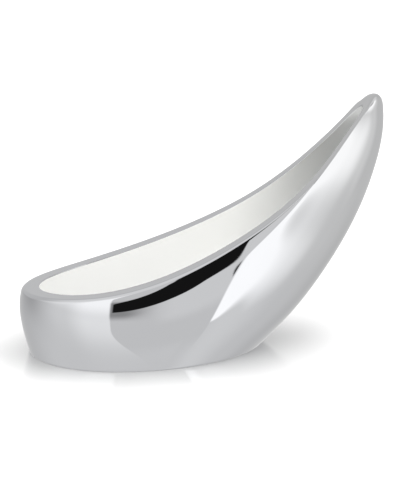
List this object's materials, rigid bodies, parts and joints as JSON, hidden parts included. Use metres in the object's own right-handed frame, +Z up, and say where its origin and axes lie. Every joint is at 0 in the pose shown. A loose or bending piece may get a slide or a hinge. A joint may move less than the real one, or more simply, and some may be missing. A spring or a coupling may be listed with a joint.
{
  "type": "horned ring",
  "caption": "Mirror-polished metal ring with an oval passage and a flat base; one end of its wall sweeps up into a hollow, blunt-tipped horn.",
  "frame": {"origin": "centre of the oval base, on the surface that the ring stands on", "axes": "+X towards the horn, +Z up, Y across the ring; the XZ plane is its plane of symmetry"},
  "size_m": [0.1038, 0.0472, 0.0684],
  "materials": {
    "polished_metal": "mirror-polished stainless steel outside and on the rim, satin inside"
  },
  "bodies": {
    "root": {"horn_ring": "polished_metal"}
  },
  "joints": []
}
